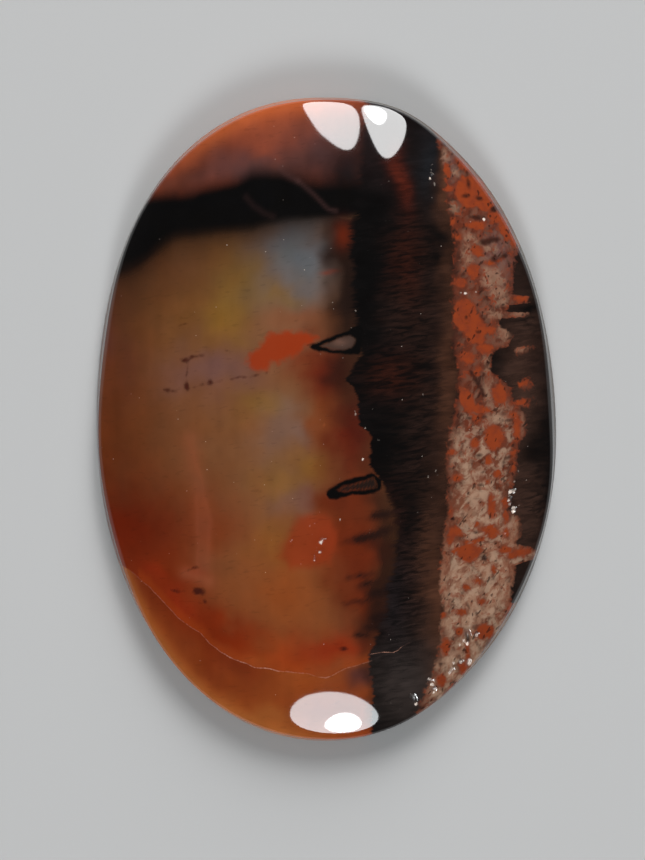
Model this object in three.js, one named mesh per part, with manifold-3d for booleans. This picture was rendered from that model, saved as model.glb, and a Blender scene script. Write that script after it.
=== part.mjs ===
// Petrified wood cabochon: one oval of fossil wood, domed and polished on top, lapped flat behind.
//
// Millimetres. Y is the long way of the oval and Z is up. The flat back lies on z = 0, and the
// origin is the middle of the oval's box on that back.

import * as THREE from "three";
import { mergeVertices } from "three/addons/utils/BufferGeometryUtils.js";
import Module from "manifold-3d";

// Driving dimensions
const LENGTH = 45.0; // of the oval, along Y
const WIDTH = 32.1; // of the oval, along X
const HEIGHT = 6.0; // from the back to the top of the dome
const GIRDLE_TOP = 1.8; // height at which the side wall gives way to the dome
const BACK_BEVEL = 0.4; // 45 degree bevel round the back, so that a setting doesn't chip it
const WALL_DRAFT = 11; // degrees that the side wall leans in towards the dome
const DOME_POWER = 0.8; // 0.5 would be an ellipse's round shoulder, 1 a parabola's flat one

// The oval was ground by eye. Its radius is a superellipse's, times a few waves round the rim: it
// leans about a degree, and the upper left and lower right differ a little from their opposites.
const SQUARENESS = 2.1; // 2 is a plain ellipse
const RIM_WAVES = [
  { share: -0.007, count: 2, wave: Math.sin },
  { share: 0.005, count: 3, wave: Math.cos },
  { share: -0.004, count: 5, wave: Math.sin },
];

// Two spots where the grinding left more or took more: millimetres of radius, and the middle and
// half spread of the spot in degrees round the rim from X
const RIM_SPOTS = [
  { height: 0.33, middle: 76, spread: 9 },
  { height: -0.15, middle: 298, spread: 12 },
];

// The line where the wall meets the dome wanders in shallow facets from the same grinding, which
// the dome's polish takes away within a few millimetres: depth, facets round the rim, degrees
// from X to the middle of the first, and how fast they fade towards the middle of the dome
const WALL_FACETS = { depth: 0.07, count: 7, first: 5, fading: 8 };

// Pits that the polish left open, where the fossil wood is softer: place of the middle, length,
// width and depth, and the turn of the length from X in degrees
const PITS = [
  { name: "foot hole", x: 9.85, y: -14.85, length: 1.1, width: 0.42, depth: 0.4, turn: 95 },
  { name: "foot, right of the hole", x: 10.5, y: -14.75, length: 0.45, width: 0.35, depth: 0.2, turn: 60 },
  { name: "foot, below the hole", x: 9.4, y: -16.65, length: 0.5, width: 0.3, depth: 0.2, turn: 10 },
  { name: "foot, at the rim", x: 9.95, y: -16.75, length: 0.65, width: 0.32, depth: 0.2, turn: 80 },
  { name: "foot, far from the hole", x: 8.75, y: -17.3, length: 0.5, width: 0.35, depth: 0.2, turn: 50 },
  { name: "column's edge, upper", x: 7.25, y: -17.95, length: 0.6, width: 0.35, depth: 0.2, turn: 140 },
  { name: "column's edge, lower", x: 7.45, y: -18.6, length: 0.6, width: 0.3, depth: 0.2, turn: 145 },
  { name: "column's foot", x: 6.1, y: -19.2, length: 0.7, width: 0.35, depth: 0.2, turn: 120 },
  { name: "right edge, upper", x: 12.95, y: -4.65, length: 0.5, width: 0.3, depth: 0.2, turn: 20 },
  { name: "right edge, middle", x: 12.75, y: -5.3, length: 0.7, width: 0.25, depth: 0.2, turn: 85 },
  { name: "right edge, lower", x: 13.0, y: -5.95, length: 0.5, width: 0.35, depth: 0.2, turn: 20 },
  { name: "jasper patch, upper", x: -0.15, y: -7.9, length: 0.55, width: 0.25, depth: 0.15, turn: 5 },
  { name: "jasper patch, middle", x: -0.3, y: -8.7, length: 0.4, width: 0.25, depth: 0.15, turn: 20 },
  { name: "jasper patch, lower", x: -0.65, y: -9.2, length: 0.3, width: 0.2, depth: 0.15, turn: 60 },
];

// How finely the curves are cut
const ROUND_STEPS = 112; // round the oval
const DOME_STEPS = 24; // from the girdle to the top, closer together near the girdle
const PIT_STEPS = 10; // round a pit
const BOX_SAMPLES = 1440; // round the rim, to find the box of the wavy oval

const RISE = HEIGHT - GIRDLE_TOP;
const WALL_LEAN = Math.tan(THREE.MathUtils.degToRad(WALL_DRAFT));
const SMALL_TURN = 0.001; // radians between the two points that give the rim's direction

// Radius that a hand-ground spot adds at an angle: a bell curve round the spot's middle.
function spotRadius({ height, middle, spread }, angle) {
  const off = THREE.MathUtils.euclideanModulo(THREE.MathUtils.radToDeg(angle) - middle + 180, 360) - 180;
  return height * Math.exp(-((off / spread) ** 2));
}

// A point of the oval as the formula gives it, before it is centred and brought to size.
function wavyOval(angle) {
  const across = Math.abs((2 * Math.cos(angle)) / WIDTH) ** SQUARENESS;
  const along = Math.abs((2 * Math.sin(angle)) / LENGTH) ** SQUARENESS;
  const plain = (across + along) ** (-1 / SQUARENESS);
  const waves = RIM_WAVES.reduce((sum, { share, count, wave }) => sum + share * wave(count * angle), 1);
  const radius = RIM_SPOTS.reduce((sum, spot) => sum + spotRadius(spot, angle), plain * waves);
  return new THREE.Vector2(radius * Math.cos(angle), radius * Math.sin(angle));
}

const rimBox = new THREE.Box2().setFromPoints(
  Array.from({ length: BOX_SAMPLES }, (_, i) => wavyOval((2 * Math.PI * i) / BOX_SAMPLES)),
);
const rimMiddle = rimBox.getCenter(new THREE.Vector2());
const toSize = new THREE.Vector2(WIDTH, LENGTH).divide(rimBox.getSize(new THREE.Vector2()));

// A point of the widest oval, whose box is WIDTH by LENGTH round the origin.
function oval(angle) {
  return wavyOval(angle).sub(rimMiddle).multiply(toSize);
}

// How far the stone's side stands in from the widest oval at a height: the back's bevel below,
// then the leaning wall with its facets, which ends at the girdle's top. The share says how far
// out on the dome the point is.
function sideInset(height, angle, share) {
  if (height < BACK_BEVEL) {
    return BACK_BEVEL - height;
  }
  const up = Math.min(height, GIRDLE_TOP) - BACK_BEVEL;
  const { depth, count, first, fading } = WALL_FACETS;
  const facet = depth * share ** fading * Math.cos(count * (angle - THREE.MathUtils.degToRad(first)));
  return up * (WALL_LEAN + facet / (GIRDLE_TOP - BACK_BEVEL));
}

// A point of the stone's side: the oval moved in, square to its own rim.
function side(height, angle, share = 1) {
  const ahead = oval(angle + SMALL_TURN).sub(oval(angle - SMALL_TURN)).normalize();
  const inward = new THREE.Vector2(-ahead.y, ahead.x);
  return oval(angle).addScaledVector(inward, sideInset(height, angle, share));
}

// Height of the dome at a share of the way from the middle, 0, to the girdle, 1.
function domeHeight(share) {
  return GIRDLE_TOP + RISE * (1 - share * share) ** DOME_POWER;
}

// The profile with its radius as a share of the side's: from the middle of the back, out to the
// bevel, up the wall and over the dome to its top.
function profile() {
  const points = [
    new THREE.Vector2(0, 0),
    new THREE.Vector2(1, 0),
    new THREE.Vector2(1, BACK_BEVEL),
    new THREE.Vector2(1, GIRDLE_TOP),
  ];
  for (let step = DOME_STEPS - 1; step >= 0; step -= 1) {
    const share = Math.sin((Math.PI / 2) * (step / DOME_STEPS));
    points.push(new THREE.Vector2(share, domeHeight(share)));
  }
  return points;
}

// The whole stone without its pits: the profile turned about Z, then each round section
// stretched to the oval that the side has at its height.
function blank() {
  const geometry = new THREE.LatheGeometry(profile(), ROUND_STEPS);
  geometry.rotateX(Math.PI / 2);
  const place = geometry.attributes.position;
  for (let i = 0; i < place.count; i += 1) {
    const share = Math.hypot(place.getX(i), place.getY(i));
    const edge = side(place.getZ(i), Math.atan2(place.getY(i), place.getX(i)), share);
    place.setXY(i, edge.x * share, edge.y * share);
  }
  return geometry;
}

// Height of the polished surface over a point of the back.
function surfaceHeight(x, y) {
  const girdle = side(GIRDLE_TOP, Math.atan2(y, x)).length();
  return domeHeight(Math.min(1, Math.hypot(x, y) / girdle));
}

// One pit: the lower half of this egg cuts the hollow, and its middle lies on the surface.
function pit({ x, y, length, width, depth, turn }) {
  const geometry = new THREE.SphereGeometry(1, PIT_STEPS, PIT_STEPS / 2);
  geometry.rotateX(Math.PI / 2);
  geometry.scale(length / 2, width / 2, depth);
  geometry.rotateZ(THREE.MathUtils.degToRad(turn));
  geometry.translate(x, y, surfaceHeight(x, y));
  return geometry;
}

const wasm = await Module();
wasm.setup();

// A closed solid from a geometry: its shared corners are merged, and the flat triangles that a
// turned profile leaves at its poles are dropped.
function solid(geometry) {
  geometry.deleteAttribute("normal");
  geometry.deleteAttribute("uv");
  const merged = mergeVertices(geometry);
  const corners = merged.index.array;
  const kept = [];
  for (let i = 0; i < corners.length; i += 3) {
    const [a, b, c] = corners.slice(i, i + 3);
    if (a !== b && b !== c && c !== a) {
      kept.push(a, b, c);
    }
  }
  return new wasm.Manifold(
    new wasm.Mesh({
      numProp: 3,
      vertProperties: new Float32Array(merged.attributes.position.array),
      triVerts: new Uint32Array(kept),
    }),
  );
}

// The geometry of a finished solid.
function geometryOf(finished) {
  const { vertProperties, triVerts } = finished.getMesh();
  const geometry = new THREE.BufferGeometry();
  geometry.setAttribute("position", new THREE.BufferAttribute(vertProperties, 3));
  geometry.setIndex(new THREE.BufferAttribute(triVerts, 1));
  geometry.computeVertexNormals();
  return geometry;
}

// Fossil wood turned to jasper and chalcedony: red-brown in the mean, with a glassy polish.
function petrifiedWood() {
  return new THREE.MeshStandardMaterial({ color: 0x6e3a25, roughness: 0.08, metalness: 0 });
}

// The stone is one piece: the blank with its pits cut out.
function cabochon() {
  const polished = PITS.reduce((stone, place) => stone.subtract(solid(pit(place))), solid(blank()));
  const mesh = new THREE.Mesh(geometryOf(polished), petrifiedWood());
  mesh.name = "cabochon";
  return mesh;
}

const model = new THREE.Group();
model.add(cabochon());

export default model;
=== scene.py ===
# %% [markdown]
# # A petrified wood cabochon
#
# The real object is one piece of fossil wood. Silica took the place of the wood and iron stained
# it, then a stone cutter ground a slab of it to an oval, domed its face and polished it like
# glass. In Blender it could be a squashed sphere with a picture on it, but its rim would be wrong
# and its markings would blur. This lesson works the surface out from formulas and paints it with
# distances in real millimetres, so that every mark keeps its edge.
#
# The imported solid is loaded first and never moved: it says how large the stone is and where.

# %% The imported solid
import math

import bpy
import numpy as np
from mathutils import Matrix, Vector


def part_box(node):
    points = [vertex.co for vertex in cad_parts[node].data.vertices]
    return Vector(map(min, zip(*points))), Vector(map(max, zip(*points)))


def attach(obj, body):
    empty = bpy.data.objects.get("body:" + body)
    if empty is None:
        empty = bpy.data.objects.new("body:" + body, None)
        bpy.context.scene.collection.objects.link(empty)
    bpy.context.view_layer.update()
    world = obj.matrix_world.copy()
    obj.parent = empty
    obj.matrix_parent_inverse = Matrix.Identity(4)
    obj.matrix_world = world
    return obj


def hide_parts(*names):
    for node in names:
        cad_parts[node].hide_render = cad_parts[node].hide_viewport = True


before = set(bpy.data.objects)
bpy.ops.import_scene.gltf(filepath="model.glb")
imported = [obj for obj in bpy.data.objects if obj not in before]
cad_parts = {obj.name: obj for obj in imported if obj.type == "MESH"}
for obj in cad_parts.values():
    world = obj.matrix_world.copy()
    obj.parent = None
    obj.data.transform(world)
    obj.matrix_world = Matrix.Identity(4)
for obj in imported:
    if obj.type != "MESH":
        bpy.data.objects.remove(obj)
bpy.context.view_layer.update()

# %% [markdown]
# ## Sizes
#
# A stone cutter gives a cabochon as length by width by height, with a thin upright girdle that
# a setting can grip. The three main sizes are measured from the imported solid, so the looks can't
# drift away from it. Everything below is in millimetres, and only the last step turns the
# points into Blender's metres.

# %% Sizes of the stone
MM = 0.001
stone_low, stone_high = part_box("cabochon")
WIDTH, LENGTH, HEIGHT = (side_length / MM for side_length in stone_high - stone_low)
GIRDLE_TOP = 1.8  # height at which the side wall gives way to the dome
BACK_BEVEL = 0.4  # 45 degree bevel round the back
WALL_LEAN = math.tan(math.radians(11))  # the wall leans in towards the dome
DOME_POWER = 0.8  # 0.5 would be an ellipse's round shoulder, 1 a parabola's flat one
RISE = HEIGHT - GIRDLE_TOP
print(f"stone {LENGTH:.2f} x {WIDTH:.2f} x {HEIGHT:.2f} mm, dome rises {RISE:.2f} mm")

# %% [markdown]
# ## The outline
#
# The oval was ground by eye, so it is almost an ellipse, but not quite. A drawn curve with many
# points could follow it, yet a formula is shorter and has no bumps: a superellipse, times three
# slow waves, plus two spots where the grinding left a little more or took a little more.

# %% The oval
SQUARENESS = 2.1  # 2 is a plain ellipse
RIM_WAVES = [(-0.007, 2, np.sin), (0.005, 3, np.cos), (-0.004, 5, np.sin)]  # share, count, wave
RIM_SPOTS = [(0.33, 76, 9), (-0.15, 298, 12)]  # millimetres of radius, middle and spread in degrees
SMALL_TURN = 0.001  # radians between the two points that give the rim's direction


def wavy_oval(angle):
    """Superellipse radius, times one plus the waves, plus a bell curve for each ground spot."""
    across = np.abs(2 * np.cos(angle) / WIDTH) ** SQUARENESS
    along = np.abs(2 * np.sin(angle) / LENGTH) ** SQUARENESS
    radius = (across + along) ** (-1 / SQUARENESS)
    radius = radius * (1 + sum(share * wave(count * angle) for share, count, wave in RIM_WAVES))
    for height, middle, spread in RIM_SPOTS:
        off = (np.degrees(angle) - middle + 180) % 360 - 180
        radius = radius + height * np.exp(-((off / spread) ** 2))
    return np.stack([radius * np.cos(angle), radius * np.sin(angle)], -1)


SAMPLES = 1440  # four to a degree
RIM_SAMPLES = wavy_oval(np.linspace(0, 2 * np.pi, SAMPLES, endpoint=False))
RIM_MIDDLE = (RIM_SAMPLES.max(0) + RIM_SAMPLES.min(0)) / 2
TO_SIZE = np.array([WIDTH, LENGTH]) / np.ptp(RIM_SAMPLES, axis=0)


def oval(angle):
    """The wavy oval, centred and brought to the stone's width and length."""
    return (wavy_oval(angle) - RIM_MIDDLE) * TO_SIZE


print("radius at 0, 45 and 90 degrees:", np.linalg.norm(oval(np.radians([0, 45, 90])), axis=-1).round(2))

# %% [markdown]
# ## The side and the dome
#
# Under the dome stands a low wall. On a hand-made stone it leans in a little and wanders in
# shallow facets, and its lower edge is bevelled so that a setting can't chip it. The dome starts
# steep at the girdle and flattens over the middle. Both are functions of an angle and of one
# more number, a height or a share of the way out, so whole grids come from one call.

# %% Side and dome
FACET_DEPTH = 0.07
FACETS = 7
FIRST_FACET = math.radians(5)
FACET_FADING = 8  # the power with which the facets die away towards the middle


def side(angle, height, share=1.0):
    """The oval moved in square to its rim: by the bevel below, and by the lean and facets above."""
    ahead = oval(angle + SMALL_TURN) - oval(angle - SMALL_TURN)
    ahead /= np.linalg.norm(ahead, axis=-1, keepdims=True)
    inward = np.stack([-ahead[..., 1], ahead[..., 0]], -1)
    up = np.clip(height, BACK_BEVEL, GIRDLE_TOP) - BACK_BEVEL
    facet = FACET_DEPTH * share**FACET_FADING * np.cos(FACETS * (angle - FIRST_FACET))
    leaning = up * (WALL_LEAN + facet / (GIRDLE_TOP - BACK_BEVEL))
    inset = np.where(height < BACK_BEVEL, BACK_BEVEL - height, leaning)
    return oval(angle) + inward * inset[..., None]


def dome_height(share):
    """Girdle height plus the rise times (1 - share squared) to the dome's power."""
    return GIRDLE_TOP + RISE * np.clip(1 - share**2, 0, 1) ** DOME_POWER


def surface_height(x, y):
    """Height of the polished face over a point: the share is its distance over the girdle's."""
    girdle = side(np.arctan2(y, x), GIRDLE_TOP)
    share = np.hypot(x, y) / np.linalg.norm(girdle, axis=-1)
    return dome_height(np.minimum(share, 1))


print("top of the dome", round(float(surface_height(np.array([0.01]), np.array([0.01]))[0]), 2), "mm")

# %% [markdown]
# ## An even net of faces
#
# A sphere's net crowds its faces at the pole and starves the rim. Here a square chessboard is
# bent into a disc instead: each square ring of the board becomes a circle. The faces come out
# nearly equal, an eighth to a sixth of a millimetre long, fine enough to hold the stone's markings.

# %% A chessboard bent into a disc
DOME_CELLS = 256  # along a side of the board; the back has half as many
RIM_CROWDING = 0.35  # how much closer together the rings lie at the rim


def disc_net(cells):
    """Ring: the larger of |a| and |b|. Angle: spread evenly with b/a or a/b over each quarter.
    Returns angle, share, the faces as rows of four corners, and the rim's corners in order."""
    step = np.linspace(-1, 1, cells + 1)
    a, b = np.meshgrid(step, step, indexing="ij")
    ring = np.maximum(np.abs(a), np.abs(b))
    safe = np.where(ring == 0, 1, ring)
    beside = np.where(a > 0, 0, np.pi) + np.pi / 4 * b / np.where(a > 0, safe, -safe)
    above = np.where(b > 0, np.pi / 2, 3 * np.pi / 2) - np.pi / 4 * a / np.where(b > 0, safe, -safe)
    angle = np.where(np.abs(a) > np.abs(b), beside, above)
    share = (1 - RIM_CROWDING) * ring + RIM_CROWDING * np.sin(np.pi / 2 * ring)
    number = np.arange((cells + 1) ** 2).reshape(cells + 1, cells + 1)
    corners = [number[:-1, :-1], number[1:, :-1], number[1:, 1:], number[:-1, 1:]]
    faces = np.stack(corners, -1).reshape(-1, 4)
    rim = np.concatenate([number[-1, :-1], number[:0:-1, -1], number[0, :0:-1], number[:-1, 0]])
    return angle.ravel(), share.ravel(), faces, rim


dome_angle, dome_share, dome_faces, dome_rim = disc_net(DOME_CELLS)
back_angle, back_share, back_faces, back_rim = disc_net(DOME_CELLS // 2)
print(len(dome_faces), "faces on the dome,", len(back_faces), "on the back")

# %% [markdown]
# ## Points of the whole stone
#
# The stone is closed: dome, wall, bevel and back share their edges, so nothing leaks light and
# the mesh can be printed. The wall is a stack of rings under the dome's rim. Rings that lie close
# to a corner keep the corner crisp while the shading stays smooth. The back's coarser net starts
# a little inside the last ring.

# %% Points of dome, wall and back
WALL_HEIGHTS = [1.72, 1.4, 1.0, 0.65, 0.45, 0.4, 0.35, 0.2, 0.04, 0.0]
BACK_SHARE = 0.985  # of the way from the middle to the bevel at which the back's net starts


def flat(points, height):
    """Points of the plane given one height, as rows of x, y and z."""
    return np.column_stack([points, np.broadcast_to(height, len(points))])


dome = flat(side(dome_angle, np.full_like(dome_angle, GIRDLE_TOP), dome_share), 0.0)
dome = flat(dome[:, :2] * dome_share[:, None], dome_height(dome_share))
rim_angle = dome_angle[dome_rim]
rings = [flat(side(rim_angle, np.full_like(rim_angle, h)), h) for h in WALL_HEIGHTS]
back_edge = side(back_angle, np.zeros_like(back_angle))
back = flat(back_edge * back_share[:, None] * BACK_SHARE, 0.0)
print(len(dome), "points on the dome,", len(rings), "rings of", len(dome_rim), "on the side")

# %% [markdown]
# ## Pits that the polish left open
#
# Where the fossil wood was soft, small bits broke out under the wheel. They are real hollows, so
# they are pushed into the mesh, and each is the lower half of an egg: its depth falls off with
# the root of one minus the distance squared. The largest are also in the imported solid.

# %% Pits
PITS = [
    # x, y, length, width, depth, turn of the length from X in degrees
    (9.85, -14.85, 1.1, 0.42, 0.4, 95),  # the hole at the foot of the bark side
    (10.5, -14.75, 0.45, 0.35, 0.2, 60),
    (9.4, -16.65, 0.5, 0.3, 0.2, 10),
    (9.95, -16.75, 0.65, 0.32, 0.2, 80),
    (8.75, -17.3, 0.5, 0.35, 0.2, 50),
    (7.25, -17.95, 0.6, 0.35, 0.2, 140),
    (7.45, -18.6, 0.6, 0.3, 0.2, 145),
    (6.1, -19.2, 0.7, 0.35, 0.2, 120),
    (12.95, -4.65, 0.5, 0.3, 0.2, 20),  # the right edge
    (12.75, -5.3, 0.7, 0.25, 0.2, 85),
    (13.0, -5.95, 0.5, 0.35, 0.2, 20),
    (-0.15, -7.9, 0.55, 0.25, 0.15, 5),  # the jasper patch
    (-0.3, -8.7, 0.4, 0.25, 0.15, 20),
    (-0.65, -9.2, 0.3, 0.2, 0.15, 60),
    (7.25, 17.1, 0.5, 0.3, 0.03, 80),  # shallow ones that only the gloss shows
    (9.6, 8.95, 0.7, 0.3, 0.06, 10),
    (11.0, -9.3, 0.5, 0.4, 0.08, 70),
    (8.9, -16.0, 0.6, 0.35, 0.06, 30),
    (-2.25, -7.95, 0.35, 0.25, 0.06, 0),
]


def within(x, y, middle_x, middle_y, half_x, half_y, turn=0):
    """Distance from an ellipse's middle as a share of the way to its edge: 1 on the edge."""
    c, s = math.cos(math.radians(turn)), math.sin(math.radians(turn))
    along = ((x - middle_x) * c + (y - middle_y) * s) / half_x
    across = ((y - middle_y) * c - (x - middle_x) * s) / half_y
    return np.hypot(along, across)


pit_depth = np.zeros(len(dome))
for x, y, length, width, depth, turn in PITS:
    share = within(dome[:, 0], dome[:, 1], x, y, length / 2, width / 2, turn)
    pit_depth = np.maximum(pit_depth, depth * np.sqrt(np.clip(1 - share**2, 0, 1)))
dome[:, 2] -= pit_depth
print(int((pit_depth > 0).sum()), "points lie in", len(PITS), "pits, deepest", pit_depth.max().round(2))

# %% [markdown]
# ## One closed mesh
#
# All points go into one array and the faces only name them. Each wall face joins two rings. The
# back's net has half as many corners as the last ring, so three triangles fill each step between
# them. Every face is listed so that it turns anticlockwise when it is seen from outside.

# %% The mesh
points = np.concatenate([dome, *rings, back])
ring_start = len(dome) + len(dome_rim) * np.arange(len(rings))
loops = [dome_rim] + [start + np.arange(len(dome_rim)) for start in ring_start]
back_start = len(dome) + len(dome_rim) * len(rings)

wall_faces = []
for upper, lower in zip(loops[:-1], loops[1:]):
    wall_faces.append(np.stack([upper, lower, np.roll(lower, -1), np.roll(upper, -1)], -1))
fine = loops[-1]
even, odd, after = fine[0::2], fine[1::2], np.roll(fine, -2)[0::2]
inner = back_start + back_rim
inner_after = np.roll(inner, -1)
steps = np.concatenate([
    np.stack([inner, odd, even], -1),
    np.stack([inner, inner_after, odd], -1),
    np.stack([inner_after, after, odd], -1),
])
quads = np.concatenate([dome_faces, *wall_faces, back_start + back_faces[:, ::-1]])

stone_mesh = bpy.data.meshes.new("cabochon_stone")
stone_mesh.from_pydata((points * MM).tolist(), [], quads.tolist() + steps.tolist())
stone_mesh.polygons.foreach_set("use_smooth", np.ones(len(stone_mesh.polygons), bool))
stone = bpy.data.objects.new("cabochon_stone", stone_mesh)
bpy.context.scene.collection.objects.link(stone)
print(len(points), "points,", 2 * len(quads) + len(steps), "triangles")

# %% [markdown]
# ## Where a mark lies inside the stone
#
# The markings aren't paint. They are layers of wood that run down through the slab, a little
# aslant. So a point on the wall or the back shows what the face shows above it, pushed sideways
# by its depth. A slow random drift, the same on every run, keeps drawn edges from looking ruled.

# %% Places in the wood
LEAN_X, LEAN_Y = 0.25, -0.15  # sideways millimetres for each millimetre of depth
LATTICE = 64  # random numbers along each side of a noise's table


def noise(x, y, size, seed):
    """Random numbers on a square lattice, blended with an S curve between them: from -1 to 1."""
    table = np.random.default_rng(seed).uniform(-1, 1, (LATTICE, LATTICE))
    cell_x, cell_y = np.floor(x / size).astype(int), np.floor(y / size).astype(int)
    part_x, part_y = x / size - cell_x, y / size - cell_y
    part_x, part_y = part_x**2 * (3 - 2 * part_x), part_y**2 * (3 - 2 * part_y)
    low = table[cell_x % LATTICE, cell_y % LATTICE], table[(cell_x + 1) % LATTICE, cell_y % LATTICE]
    high = (
        table[cell_x % LATTICE, (cell_y + 1) % LATTICE],
        table[(cell_x + 1) % LATTICE, (cell_y + 1) % LATTICE],
    )
    below = low[0] + (low[1] - low[0]) * part_x
    above = high[0] + (high[1] - high[0]) * part_x
    return below + (above - below) * part_y


def clouds(x, y, size, seed, layers=3):
    """Noises laid over each other, each half as large and half as strong as the one before."""
    parts = [noise(x, y, size / 2**k, seed + k) / 2**k for k in range(layers)]
    return sum(parts) / 1.5


face_height = surface_height(points[:, 0], points[:, 1])
depth = np.clip(face_height - points[:, 2], 0, None)
depth[: len(dome)] = 0
wood_x = points[:, 0] + LEAN_X * depth
wood_y = points[:, 1] + LEAN_Y * depth
X = wood_x + 0.10 * clouds(wood_x, wood_y, 1.3, 11)  # for drawn edges
Y = wood_y + 0.10 * clouds(wood_x, wood_y, 1.3, 21)
SOFT_X = wood_x + 0.8 * clouds(wood_x, wood_y, 3.5, 31) + 0.5 * clouds(wood_x, wood_y, 1.1, 35)
SOFT_Y = wood_y + 0.8 * clouds(wood_x, wood_y, 3.5, 41) + 0.5 * clouds(wood_x, wood_y, 1.1, 45)
print("depth below the face: up to", depth.max().round(2), "mm")

# %% [markdown]
# ## Paints
#
# Every colour of the stone gets a name. They are written as the hex values that a picture
# shows, and one function turns them into the linear light that Blender mixes.

# %% Paints
PAINTS = {
    "tan": "#6e462a",
    "brown": "#4f2e1d",
    "ochre": "#684322",
    "olive": "#6d4d22",
    "olive yellow": "#775420",
    "chalcedony": "#5b5c5e",
    "smoky chalcedony": "#62523f",
    "mauve edge": "#512a20",
    "mauve": "#63433c",
    "lilac grey": "#67524a",
    "rust brown": "#572a13",
    "rust red": "#5e2310",
    "fringe": "#1e130f",
    "orange brown": "#80401c",
    "ember red": "#5a1a0e",
    "deep red": "#581909",
    "blood red": "#70240c",
    "orange": "#8c3814",
    "fire red": "#7c2610",
    "finger dark": "#1f120f",
    "violet brown": "#432826",
    "crack pink": "#b98673",
    "veil": "#86482f",
    "cap rim glow": "#8e4420",
    "cap rust": "#7c3822",
    "cap red": "#80432f",
    "cap purple": "#48302e",
    "cap dark": "#4a241a",
    "roof black": "#090808",
    "smoke": "#1c1414",
    "amber": "#94582a",
    "outer orange": "#87401b",
    "outer dark": "#6a2610",
    "jasper": "#852c10",
    "jasper low": "#7e2f16",
    "bark black": "#0d0b0b",
    "bark brown": "#2a1b16",
    "bark fringe": "#553424",
    "dried red": "#2f150e",
    "streak red": "#4c1d13",
    "blue black": "#1a1b1e",
    "foot grey": "#352d2a",
    "edge brown": "#38261f",
    "band brown": "#522a1e",
    "band pink": "#7a4c38",
    "band pale": "#91705b",
    "band dark": "#351d16",
    "band cream": "#a48872",
    "band violet": "#5c4440",
    "band rust": "#5c2a1b",
    "speck brown": "#2a1712",
    "splinter": "#70301c",
    "splinter bright": "#7c341a",
    "knot": "#3e2e27",
    "knot pale": "#5e4236",
    "finger grey": "#1f1613",
    "ink red": "#36140f",
    "ink black": "#171010",
    # the pale paint of the painted glints, also used for the dust specks
    "glint": "#d8c8bc",
    "pale wall band": "#a08c72",
}


def linear(hex_colour):
    """sRGB hex to linear: below 0.04045 a straight line, above it a power of 2.4."""
    parts = [int(hex_colour[i : i + 2], 16) / 255 for i in (1, 3, 5)]
    return tuple(p / 12.92 if p <= 0.04045 else ((p + 0.055) / 1.055) ** 2.4 for p in parts)


PAINT = {name: np.array(linear(value)) for name, value in PAINTS.items()}
print(len(PAINT), "paints")

# %% [markdown]
# ## Brushes
#
# Three small functions are all the brushes that the painting needs: an S-shaped step, a wash
# that fades like a bell curve from its middle, and the mixing itself. Washes are listed as the
# paint, the middle's x and y, the half sizes, the turn in degrees and the strength. A later wash
# lies over an earlier one.

# %% Brushes
def step(low, high, value):
    """0 up to low, 1 from high on, and an S curve between them."""
    part = np.clip((value - low) / (high - low), 0, 1)
    return part**2 * (3 - 2 * part)


def lay(colours, paint, weight):
    """Moves the colours towards a paint by the weight, from 0 to 1."""
    colours += (PAINT[paint] - colours) * np.clip(weight, 0, 1)[:, None]


def washes(base, rows, x, y):
    """A field of one paint with soft washes laid over it in turn."""
    colours = np.tile(PAINT[base], (len(x), 1))
    for paint, middle_x, middle_y, half_x, half_y, turn, strength in rows:
        share = within(x, y, middle_x, middle_y, half_x, half_y, turn)
        lay(colours, paint, strength * np.exp(-(share**2)))
    return colours


# %% [markdown]
# ## The clear field
#
# Most of the left half is chalcedony that light enters, with iron clouds hanging in it: blue
# grey at the top, olive and ochre in the middle, red below. Nothing in it has an edge, so it is
# all washes. They are stirred by the slow drift, or they would look like ellipses.

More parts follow.
